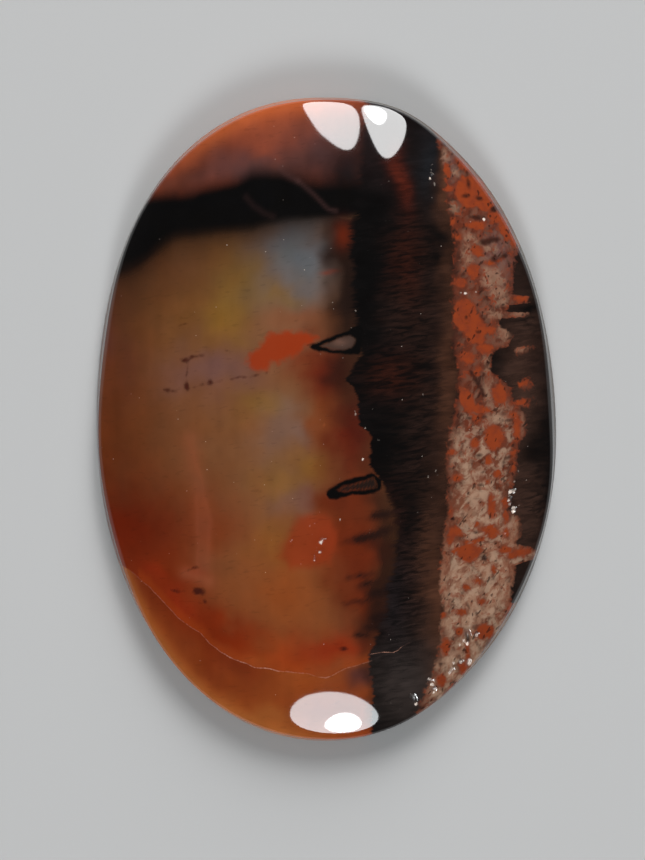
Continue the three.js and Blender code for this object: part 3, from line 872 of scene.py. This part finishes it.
for colours in (field, bark):
    lay(colours, "finger grey", step(-0.1, 0.15, finger_heart))
    lay(colours, "knot", in_eye)
    lay(colours, "knot pale", 0.9 * gleam * in_eye)
print(len(INK_DOTS), "ink marks")

# %% [markdown]
# ## The healed crack
#
# A crack runs across the foot of the stone. Below it the colour jumps:
# clear amber that darkens to red. The crack is one drawn line; points above it belong to the
# field and points below it to a second wash of colours. A fine pale line marks it, and the light
# that catches in the crack is painted into that line as glints, brightest where it comes to the
# surface. A short scar carries on from it over the bark, a pale line with a painted glint too.

# %% The crack
CRACK = [
    (-17, -7.8), (-14.1, -10.0), (-13.3, -10.6), (-12.3, -11.4), (-12.0, -11.8), (-11.2, -12.5),
    (-10.5, -13.2), (-9.8, -13.9), (-9.2, -14.3), (-8.6, -14.6), (-8.3, -14.9), (-7.8, -15.5),
    (-7.2, -15.9), (-6.6, -16.2),
    (-5.6, -16.6), (-5.0, -16.9), (-3.8, -17.0), (-3.2, -17.2), (-2.6, -17.25), (-1, -17.35), (-0.6, -17.5),
    (0.1, -17.6), (0.6, -17.4), (1.2, -17.05), (2.2, -16.75), (3.2, -16.4), (5.0, -15.8), (9, -15.0),
]
CRACK_GLINT = [
    # x, brightness of the glint painted along the line
    (-14.5, 0.05), (-12.5, 0.2), (-9, 0.3), (-7.2, 0.35), (-6.8, 0.9), (-6.4, 0.4), (-5.8, 0.9), (-5.2, 0.5),
    (-4.6, 0.9), (-3.8, 1.0), (-3.4, 0.6), (-2, 0.35), (-0.5, 0.25), (0.3, 0.5), (1, 0.3), (3.1, 0.3),
    (3.3, 0),
]
SCAR = [(3.1, -15.95), (4.0, -15.8), (4.8, -15.75), (5.1, -15.65), (5.3, -15.4), (5.8, -15.15)]
# x, brightness of the glint painted along the scar
SCAR_LIGHT = [(3.0, 0.0), (3.4, 0.8), (4.8, 1.0), (5.3, 0.5), (5.9, 0.0)]
OUTER = [
    ("outer dark", -7.5, -17.0, 3.5, 1.0, -30, 0.5),
    ("amber", -4.0, -20.6, 2.5, 0.9, -15, 0.5),
    ("violet brown", 2.5, -17.7, 1.4, 0.9, 15, 0.9),
    ("outer dark", 0.6, -20.2, 2.6, 1.6, 0, 0.7),
    ("blood red", 4.0, -21.0, 1.5, 1.5, 0, 0.8),
]
outer = washes("outer orange", OUTER, SOFT_X, SOFT_Y)
lay(outer, "fringe", fringe)
crack_places = np.linspace(-17, 9, 261)
crack_slope = np.gradient(along(CRACK, crack_places), 0.1)
tilt = np.interp(X, crack_places, 1 / np.hypot(1, crack_slope))  # turns a height into a distance
crack = (Y - along(CRACK, X)) * tilt
lay(outer, "outer dark", 0.9 * np.exp(-((crack / 1.5) ** 2)) * step(-2, -6, X))
# Painted glow: amber in the last half millimetre before the girdle on the left, where light comes through the
# thin edge.
lay(outer, "amber", 0.6 * np.exp(-((from_rim / 0.6) ** 2)) * step(1, -3, X))
crack_light = along(CRACK_GLINT, X) * (1 - step(0.3, 0.6, np.abs(crack)))
lay(field, "orange", 0.5 * step(0.8, 0.1, crack) * step(-0.2, 0, crack) * (X > -13))
scar = Y - along(SCAR, X)
scar_light = along(SCAR_LIGHT, X) * step(0.6, 0.3, np.abs(scar))
print("the crack crosses", round(float(np.ptp([p[0] for p in CRACK])), 1), "mm")

# %% [markdown]
# ## Veils, glints and the glowing rim
#
# Pale veils hang inside the red corner, and a few more cross the roof. Where chips and scratches
# catch the light, the glints are painted as pale spots and lines. The thin edge of a clear stone
# glows, because light comes in through the wall, and that glow is painted: the colours are lifted
# in the last millimetre before the girdle wherever the stone is clear.

# %% Veils, glints and glow
VEILS = [
    # paint, half width, strength, points
    ("veil", 0.60, 0.35, [(-9.2, -1.0), (-8.9, -3), (-8.5, -5), (-8.35, -7), (-8.35, -8.5), (-8.4, -10)]),
    ("veil", 0.16, 0.20, [(-9.0, -2), (-8.5, -3.5), (-8.2, -5), (-7.9, -6.5), (-7.9, -8), (-8.1, -10)]),
    ("veil", 0.12, 0.20, [(-8.8, -5), (-8.75, -7), (-8.6, -8), (-8.8, -10.2)]),
    ("veil", 0.45, 0.60, [(-9.6, -10.4), (-8.0, -10.9)]),
    ("cap purple", 0.2, 0.3, [(-5.0, 18.0), (-4.0, 18.1), (-3.2, 17.7), (-2.7, 17.1), (-1.9, 16.6)]),
    ("cap purple", 0.15, 0.3, [(-1.9, 16.6), (-0.9, 15.8), (-0.2, 15.2), (0.3, 14.7), (0.8, 14.6)]),
    ("cap purple", 0.2, 0.12, [(-5.4, 15.6), (-4.9, 14.9), (-4.2, 14.5), (-3.5, 14.2)]),
]
GLINTS = [
    # x, y, radius of each painted glint
    (7.35, 17.75, 0.05), (7.25, 17.4, 0.05), (7.25, 17.2, 0.05), (7.45, 17.1, 0.06), (7.2, 16.8, 0.09),
    (7.45, 16.5, 0.06), (7.5, 16.35, 0.05), (7.3, 15.5, 0.05), (2.1, 0.9, 0.06), (2.15, 0.7, 0.07),
    (1.95, 0.45, 0.06), (2.8, -0.2, 0.06), (3.7, -1.0, 0.07), (2.65, -2.35, 0.09), (1.85, 6.55, 0.06),
    (2.1, 7.75, 0.06), (6.75, 2.05, 0.06), (7.6, -3.15, 0.07), (7.75, -3.45, 0.06), (7.1, -3.55, 0.07),
    (6.4, -6.0, 0.05), (-0.25, -8.05, 0.12), (0.05, -7.85, 0.10), (-0.55, -8.45, 0.07), (-0.3, -8.7, 0.11),
    (-0.7, -8.85, 0.08), (-0.65, -9.25, 0.09), (-2.25, -7.95, 0.09), (-0.65, -6.8, 0.08), (-1.0, -6.95, 0.06),
    (-0.8, -7.45, 0.06), (1.1, -6.5, 0.09), (-1.6, -9.6, 0.07), (12.75, -4.7, 0.14), (13.0, -4.65, 0.10),
    (12.7, -5.0, 0.08), (12.65, -5.3, 0.10), (12.7, -5.6, 0.08), (13.0, -5.85, 0.14), (12.95, -6.1, 0.12),
    (13.35, -5.65, 0.06), (13.05, -4.0, 0.06), (13.3, -3.3, 0.06), (12.4, -7.6, 0.08), (9.6, -15.1, 0.12),
    (9.85, -15.35, 0.12), (10.0, -14.05, 0.08), (10.5, -14.75, 0.12), (9.3, -15.4, 0.10), (9.4, -16.65, 0.12),
    (10.0, -16.8, 0.14), (10.0, -16.5, 0.10), (8.9, -16.7, 0.10), (8.65, -17.4, 0.12), (8.8, -17.1, 0.08),
    (7.2, -17.8, 0.10), (7.4, -18.2, 0.12), (7.7, -18.6, 0.10), (7.5, -18.8, 0.09), (5.95, -18.9, 0.08),
    (6.3, -19.6, 0.12), (10.9, 14.0, 0.10), (9.6, 8.95, 0.09), (10.35, 9.05, 0.06), (9.3, 9.0, 0.06),
]
SMALL_GLINT = 0.09  # radius in mm under which a painted glint is dim
DIM_GLINT = 0.3  # strength of the small painted glints and of those on the scratches
RIM_GLOW, GLOW_REACH = 0.35, 0.9  # share of painted glow added at the girdle, and its reach in mm
# Thin scratches, shown only as faint painted glints along them.
SCRATCHES = [[(3.6, 16.2), (4.4, 16.6)], [(4.0, 13.85), (4.6, 13.95)], [(9.4, 8.85), (9.85, 8.95)]]
for paint_name, half_width, strength, line in VEILS:
    lay(field, paint_name, strength * np.exp(-((to_line(line, X, Y) / half_width) ** 2)))
glints = in_ellipses([(x, y, r, r, 0) for x, y, r in GLINTS], wood_x, wood_y)
small = in_ellipses([(x, y, r, r, 0) for x, y, r in GLINTS if r < SMALL_GLINT], wood_x, wood_y)
for line in SCRATCHES:
    small = np.maximum(small, -to_line(line, wood_x, wood_y))
glints = np.maximum(glints, small)
glint_light = np.where(small >= glints, DIM_GLINT, 1.0)
glow = np.exp(-((from_rim / GLOW_REACH) ** 2))
for colours in (field, outer):
    colours *= 1 + RIM_GLOW * glow[:, None]
mottle = 0.09 * clouds(wood_x, wood_y, 0.9, 51)[:, None]
mottle = mottle + 0.06 * clouds(wood_x, wood_y / 7, 0.6, 85)[:, None]  # faint streaks up and down
warmth = 0.08 * clouds(wood_x, wood_y, 1.4, 55)[:, None] * np.array([0.6, 0.0, -1.0])  # red for blue
for colours in (field, outer):
    colours *= 1 + mottle + warmth
wall_height = points[:, 2]
girdle_foot = step(1.3, 0.9, wall_height) * step(0.3, 0.5, wall_height)  # a pale band low on the wall
for colours in (field, outer, bark, ground):
    lay(colours, "pale wall band", 0.22 * girdle_foot)
print(len(GLINTS), "glints")

# %% [markdown]
# ## Handing the painting to the mesh
#
# Blender keeps such values as attributes: one number or one colour for each point. The shader
# asks for them by name. They belong to the mesh, so the pattern stays on the stone wherever the
# stone goes and whichever way it is seen.

# %% Attributes
on_back = np.zeros(len(points))
on_back[ring_start[WALL_HEIGHTS.index(BACK_BEVEL)] :] = 1.0  # the bevel and the back


def store(name, values):
    """One attribute on the stone's points: a colour for rows of three, else a plain number."""
    if values.ndim == 2:
        rows = np.column_stack([np.clip(values, 0, 1), np.ones(len(values))])
        attribute = stone_mesh.attributes.new(name, "FLOAT_COLOR", "POINT")
        attribute.data.foreach_set("color", rows.astype(np.float32).ravel())
    else:
        attribute = stone_mesh.attributes.new(name, "FLOAT", "POINT")
        attribute.data.foreach_set("value", values.astype(np.float32))


pit_share = np.zeros(len(points))
pit_share[: len(dome)] = np.clip(pit_depth / 0.1, 0, 1)
STORED = {
    "field": field, "outer": outer, "bark": bark, "hatching": hatching, "ground": ground,
    "crumbs": crumbs, "cream": cream, "column": column, "band": band, "splinters": splinters, "pale": pale,
    "jasper": jasper, "ink": ink, "lid": lid, "lid_hole": lid_hole, "crack": crack,
    "crack_light": crack_light, "scar": scar, "scar_light": scar_light, "glints": glints,
    "glint_light": glint_light, "pits": pit_share, "girdle_foot": girdle_foot, "on_back": on_back,
}
for name, values in STORED.items():
    store(name, values)
print(len(STORED), "attributes of", len(points), "points")

# %% [markdown]
# ## The polished stone
#
# Polished petrified wood is quartz: its index of refraction is 1.54 and its polish is close to
# a mirror, which gives the hard, bright reflections of the lamps. The back was only lapped, so it
# is satin. The material cuts the stored distances into edges, after shaking them with noise whose
# scale is a real size, and adds what is finer than the mesh: the hatching of the bark, the
# crumble of the band and dust.

# %% Starting the material
material = bpy.data.materials.new("petrified wood, polished")
material.use_nodes = True
tree = material.node_tree
tree.nodes.clear()


def add(kind, inputs=None, **settings):
    """Adds one node with its settings. An input's value is a number, a colour or another socket."""
    node = tree.nodes.new(kind)
    for name, value in settings.items():
        setattr(node, name, value)
    for name, value in (inputs or {}).items():
        if isinstance(value, bpy.types.NodeSocket):
            tree.links.new(value, node.inputs[name])
        else:
            node.inputs[name].default_value = value
    return node


def stored(name):
    """The socket that gives a stored attribute: its colour, or its number."""
    node = add("ShaderNodeAttribute", attribute_name=name)
    return node.outputs["Color" if STORED[name].ndim == 2 else "Fac"]


place = add("ShaderNodeTexCoord").outputs["Object"]
in_mm = add("ShaderNodeMapping", {"Vector": place, "Scale": (1 / MM, 1 / MM, 1 / MM)}).outputs["Vector"]

# %% [markdown]
# ## Noises at real sizes
#
# A noise node's scale is the number of lumps in a unit, and the unit here is a millimetre, so a
# lump of a quarter millimetre is a scale of 4. The bark's hatching is the same noise on a
# stretched place: each dash is about a millimetre long, a fifth high, and rises to the right.

# %% Noises
def grain(size, detail=3.0, turn=0.0, stretch=(1, 1, 1), distortion=0.0):
    """Noise from 0 to 1 with lumps of a size in mm, stretched along a direction in the face."""
    spot = add("ShaderNodeMapping", {"Vector": in_mm, "Rotation": (0, 0, math.radians(-turn))})
    spread = [1 / (size * part) for part in stretch]
    spot = add("ShaderNodeMapping", {"Vector": spot.outputs["Vector"], "Scale": spread})
    settings = {"Vector": spot.outputs["Vector"], "Scale": 1.0, "Detail": detail, "Distortion": distortion}
    return add("ShaderNodeTexNoise", settings).outputs["Fac"]


edge_grain = grain(0.5, 4)
fine_grain = grain(0.18, 2)
hatch = grain(0.23, 2, turn=8, stretch=(5, 1, 3), distortion=0.7)
crumble = grain(0.45, 5, distortion=0.8)
blotches = grain(0.7, 4, stretch=(1, 1.4, 1), distortion=0.5)
pale_grain = grain(0.5, 5, turn=50, stretch=(1.4, 1, 1), distortion=0.4)
streaks = grain(0.42, 5, turn=60, stretch=(1.6, 1, 1), distortion=0.5)
specks_dark = grain(0.3, 1, turn=60, stretch=(1.8, 1, 1))

# %% [markdown]
# ## Edges and mixes
#
# Two helpers do most of the work. One shakes a distance with a noise and turns it into a mask
# from 0 to 1 over a given softness, both in millimetres. The other lays one colour over another
# through a mask. A mask of a plain noise works in the noise's own units, from 0 to 1, and a
# number that multiplies a mask says how strongly the mark covers what lies below it.

# %% Edges and mixes
def mask(distance, soft=0.08, shaken_by=None, shake=0.0, offset=0.0):
    """0 outside and 1 inside: the distance plus the noise's swing, over plus or minus soft. A
    softness below zero turns the mask over."""
    if shaken_by is not None:
        swing = add("ShaderNodeMath", {0: shaken_by, 1: -0.5}, operation="ADD").outputs[0]
        parts = {0: swing, 1: shake, 2: distance}
        distance = add("ShaderNodeMath", parts, operation="MULTIPLY_ADD").outputs[0]
    ends = {"Value": distance, "From Min": offset - soft, "From Max": offset + soft}
    return add("ShaderNodeMapRange", ends, interpolation_type="SMOOTHSTEP").outputs["Result"]


def over(below, above, share):
    """One colour over another: the share is a mask or a number."""
    sockets = {0: share, 6: below, 7: above}
    return add("ShaderNodeMix", sockets, data_type="RGBA").outputs[2]


def times(first, second):
    """The product of two masks."""
    return add("ShaderNodeMath", {0: first, 1: second}, operation="MULTIPLY").outputs[0]


def paint(name):
    """A paint as a node's colour."""
    return (*PAINT[name], 1.0)


# %% [markdown]
# ## Field, bark and band
#
# The layers go on in the order in which they lie in the stone: the clear field, the amber below
# the crack, jasper, bark with its hatching, then the band with its crumble and splinters.

# %% Field and jasper
colour = over(stored("outer"), stored("field"), mask(stored("crack"), 0.05, fine_grain, 0.1))
field_dash = mask(grain(0.22, 2, turn=8, stretch=(3.5, 1, 3)), 0.06, offset=0.66)
colour = over(colour, paint("roof black"), times(field_dash, 0.13))
colour = over(colour, paint("jasper"), times(mask(stored("jasper"), 0.3, edge_grain, 0.8), 0.9))

# %% Bark
dark_hatch = times(mask(hatch, -0.22, offset=0.5), stored("hatching"))
bark_colour = over(stored("bark"), paint("roof black"), dark_hatch)
colour = over(colour, bark_colour, mask(stored("column"), 0.34, hatch, 1.4))

# %% Band
band_mask = mask(stored("band"), 0.16, crumble, 0.9)
rock = over(stored("ground"), paint("band dark"), times(mask(blotches, 0.1, offset=0.55), 0.7))
pale_share = mask(stored("pale"), 0.25, crumble, 1.2)
rock = over(rock, paint("band pale"), times(pale_share, 0.5))
rock = over(rock, paint("band rust"), times(mask(streaks, -0.08, offset=0.45), 0.55))
rock = over(rock, paint("band cream"), times(mask(pale_grain, 0.1, offset=0.51), stored("cream")))
rock = over(rock, paint("splinter"), times(mask(crumble, 0.06, offset=0.6), stored("crumbs")))
rock = over(rock, paint("band rust"), times(mask(stored("splinters"), 0.15, crumble, 0.6, offset=-0.12), 0.6))
splinter_colour = over(paint("splinter"), paint("splinter bright"), mask(edge_grain, 0.15, offset=0.45))
rock = over(rock, splinter_colour, mask(stored("splinters"), 0.12, crumble, 0.6))
rock = over(rock, paint("speck brown"), times(mask(specks_dark, 0.04, offset=0.68), 0.75))
colour = over(colour, rock, band_mask)

# %% Ink, crack and glints
ink_colour = over(paint("ink red"), paint("ink black"), mask(stored("column"), 0.5, offset=-4.0))
ink_colour = over(ink_colour, paint("speck brown"), band_mask)
in_lid = mask(stored("lid"), 0.1, edge_grain, 0.25)
round_hole = mask(stored("lid_hole"), -0.1, edge_grain, 0.25)
colour = over(colour, paint("roof black"), times(in_lid, round_hole))
colour = over(colour, ink_colour, times(mask(stored("ink"), 0.12, edge_grain, 0.4, offset=0.02), 0.9))
# The pale lines of the crack and the scar, their brightness a painted glint.
for name, light, half_width in (("crack", "crack_light", 0.02), ("scar", "scar_light", 0.01)):
    line = add("ShaderNodeMath", {0: stored(name)}, operation="ABSOLUTE").outputs[0]
    line = add("ShaderNodeMath", {0: half_width, 1: line}, operation="SUBTRACT").outputs[0]
    share = times(mask(line, 0.04, fine_grain, 0.15), stored(light))
    colour = over(colour, paint("crack pink"), times(share, 0.8))
# Painted highlights: pale spots where chips catch the light, and faint lines along the scratches.
glint_mask = mask(stored("glints"), 0.04, fine_grain, 0.12)
colour = over(colour, paint("glint"), times(glint_mask, stored("glint_light")))

# %% [markdown]
# ## Dust
#
# A polished stone never lies there without dust. Loose grains could be modelled, but they would
# be too small to see as shapes. A Voronoi node scatters one point to a cell instead, and each
# cell's random colour gives its grain a radius. A third of the radii fall below zero, so those
# cells stay clean.

# %% Dust
DUST_PER_MM = 1.5  # cells along a millimetre
DUST_RADIUS, DUST_LESS = 0.075, -0.025  # radius per unit of chance, and what is taken off it
specks = add("ShaderNodeTexVoronoi", {"Vector": in_mm, "Scale": DUST_PER_MM})
chance = add("ShaderNodeSeparateColor", {0: specks.outputs["Color"]}).outputs[0]
radius_sum = {0: chance, 1: DUST_RADIUS, 2: DUST_LESS}
speck_size = add("ShaderNodeMath", radius_sum, operation="MULTIPLY_ADD").outputs[0]
speck_edge = {0: speck_size, 1: specks.outputs["Distance"]}
speck = add("ShaderNodeMath", speck_edge, operation="SUBTRACT").outputs[0]
colour = over(colour, paint("glint"), times(mask(speck, 0.02), 0.5))

# %% [markdown]
# ## Gloss and relief
#
# The polish is even over the face. It is dull inside the pits and along a band low on the
# wall, and the broken band takes it a little worse than the solid wood. The back keeps the fine
# scratches of the lap.

# %% Gloss and relief
POLISH, BAND_POLISH, WALL_BAND_ROUGH, PIT_ROUGH, LAPPED = 0.035, 0.09, 0.35, 0.45, 0.42  # roughness


def rougher(rough, to, share):
    """Roughness moved towards another value by a share."""
    return add("ShaderNodeMix", {0: share, 2: rough, 3: to}, data_type="FLOAT").outputs[0]


rough = rougher(POLISH, BAND_POLISH, times(band_mask, crumble))
rough = rougher(rough, PIT_ROUGH, stored("pits"))
rough = rougher(rough, WALL_BAND_ROUGH, stored("girdle_foot"))
rough = rougher(rough, LAPPED, stored("on_back"))
relief = times(band_mask, crumble)
lap_marks = times(grain(0.12, 2, turn=30, stretch=(12, 1, 1)), stored("on_back"))
relief = add("ShaderNodeMath", {0: relief, 1: 0.6, 2: lap_marks}, operation="MULTIPLY_ADD").outputs[0]
bump = add("ShaderNodeBump", {"Height": relief, "Strength": 0.25, "Distance": 0.01 * MM})
shader = add(
    "ShaderNodeBsdfPrincipled",
    {"Base Color": colour, "Roughness": rough, "IOR": 1.54, "Normal": bump.outputs["Normal"]},
)
add("ShaderNodeOutputMaterial", {"Surface": shader.outputs["BSDF"]})
stone_mesh.materials.append(material)
print(len(tree.nodes), "nodes in the material")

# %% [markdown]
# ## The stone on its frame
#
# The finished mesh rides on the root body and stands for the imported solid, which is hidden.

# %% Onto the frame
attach(stone, "root")
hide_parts("cabochon")

# %% [markdown]
# ## Floor, lamps and camera
#
# A stone's gloss is only as good as what it mirrors. Oval diffusers stand behind and before it, a
# third of the way up the sky, and show near its ends as white ovals, each with a brighter core.
# Straight above it must be dark, or the black bark would turn grey. A wide soft fill that mirrors
# don't see lifts the colours.

# %% Floor
FLOOR_HALF = 2.0  # metres
FLOOR_DROP = 0.02 * MM  # keeps the floor clear of the stone's back
floor_mesh = bpy.data.meshes.new("floor")
floor_signs = [(-1, -1), (1, -1), (1, 1), (-1, 1)]
floor_corners = [(x * FLOOR_HALF, y * FLOOR_HALF, -FLOOR_DROP) for x, y in floor_signs]
floor_mesh.from_pydata(floor_corners, [], [(0, 1, 2, 3)])
floor = bpy.data.objects.new("floor", floor_mesh)
bpy.context.scene.collection.objects.link(floor)
# Uncoated paper is rough, so it scatters light evenly and the shadow on it stays soft.
paper = bpy.data.materials.new("paper, matt grey")
paper.use_nodes = True
paper_shader = paper.node_tree.nodes["Principled BSDF"]
paper_shader.inputs["Base Color"].default_value = (*linear("#a9a9a9"), 1)
paper_shader.inputs["Roughness"].default_value = 0.9
floor_mesh.materials.append(paper)

# %% Lamps
def aim(thing, place, target, upright):
    """Puts a lamp or camera at a place: its -Z looks at the target, and its X is square to that
    and to the upright direction."""
    back_axis = (Vector(place) - Vector(target)).normalized()
    right_axis = Vector(upright).cross(back_axis).normalized()
    up_axis = back_axis.cross(right_axis)
    turned = Matrix((right_axis, up_axis, back_axis)).transposed().to_4x4()
    thing.matrix_world = Matrix.Translation(place) @ turned


def lamp(name, azimuth, elevation, half_width, half_height, radiance, roll, distance):
    """An oval diffuser round the stone, all in degrees as the stone sees it: the azimuth from +Y
    towards +X, the elevation, the half sizes and the roll, which leans the oval over. Watts are
    the radiance times pi times the diffuser's area."""
    data = bpy.data.lights.new(name, "AREA")
    data.shape = "ELLIPSE"
    data.size = 2 * distance * math.tan(math.radians(half_width))
    data.size_y = 2 * distance * math.tan(math.radians(half_height))
    data.energy = radiance * math.pi * (math.pi / 4 * data.size * data.size_y)
    thing = bpy.data.objects.new(name, data)
    bpy.context.scene.collection.objects.link(thing)
    a, e = math.radians(azimuth), math.radians(elevation)
    way = Vector((math.sin(a) * math.cos(e), math.cos(a) * math.cos(e), math.sin(e)))
    aim(thing, way * distance, (0, 0, 0), upright=(0, 0, 1))
    thing.matrix_world = thing.matrix_world @ Matrix.Rotation(math.radians(roll), 4, "Z")
    return thing


LAMPS = [
    # name, azimuth, elevation, half width, half height, radiance, roll, distance in metres
    ("lamp_far_left", -1.3, 31, 4.7, 20, 14, 8, 1.2),
    ("lamp_far_right", 16.6, 29.5, 9.1, 21, 14, 5, 1.2),
    ("lamp_far_core", 11.5, 30, 4.0, 10, 25, 5, 1.15),
    ("lamp_near", 178.4, 33.5, 10.6, 12.3, 11, 31, 1.2),
    ("lamp_near_core", 176.6, 30.5, 4.6, 7.4, 30, 0, 1.15),
    ("fill", 0, 89.9, 50, 50, 0.24, 0, 1.2),
]
lamps = {name: lamp(name, *numbers) for name, *numbers in LAMPS}
lamps["lamp_near"].data.color = (0.94, 1.0, 1.03)  # a little cooler than the others
lamps["fill"].visible_glossy = False

# %% Camera and sky
LENS, SENSOR = 120, 36  # millimetres inside the camera
PHOTO_LONG_SIDE = 860
PIXELS_PER_MM = 14.30
AIM_POINT = Vector((-0.255, -0.631, 0.4)) * MM
# The camera looks almost straight down, and leans a little over the right and the upper side.
CAMERA_LEAN = Vector((math.sin(math.radians(1.5)), math.sin(math.radians(3.0)), 0))
back_way = Vector((*CAMERA_LEAN.xy, math.sqrt(1 - CAMERA_LEAN.length_squared)))
camera_data = bpy.data.cameras.new("camera")
camera_data.lens = LENS
camera_data.sensor_width = SENSOR
camera_data.clip_start = 0.01
camera = bpy.data.objects.new("camera", camera_data)
bpy.context.scene.collection.objects.link(camera)
camera_distance = LENS / camera_data.sensor_width * PHOTO_LONG_SIDE / PIXELS_PER_MM * MM
aim(camera, AIM_POINT + back_way * camera_distance, AIM_POINT, upright=(0, 1, 0))
bpy.context.scene.camera = camera
print("camera", camera.matrix_world.translation, "distance", round(camera_distance, 4))

HORIZON, ZENITH = 0.6, 0.02  # the sky's light low down and above
world = bpy.data.worlds.new("studio")
bpy.context.scene.world = world
world.use_nodes = True
tree = world.node_tree  # add() puts its nodes here from now on
sky_way = add("ShaderNodeTexCoord").outputs["Generated"]
sky_up = add("ShaderNodeSeparateXYZ", {0: sky_way}).outputs["Z"]
sky_ends = {"Value": sky_up, "From Min": 0.02, "From Max": 0.1}
sky_share = add("ShaderNodeMapRange", sky_ends).outputs["Result"]
sky_mix = {0: sky_share, 6: (HORIZON, HORIZON, HORIZON, 1), 7: (ZENITH, ZENITH, ZENITH, 1)}
sky = add("ShaderNodeMix", sky_mix, data_type="RGBA")
tree.links.new(sky.outputs[2], tree.nodes["Background"].inputs["Color"])
bpy.context.scene.view_settings.view_transform = "Standard"
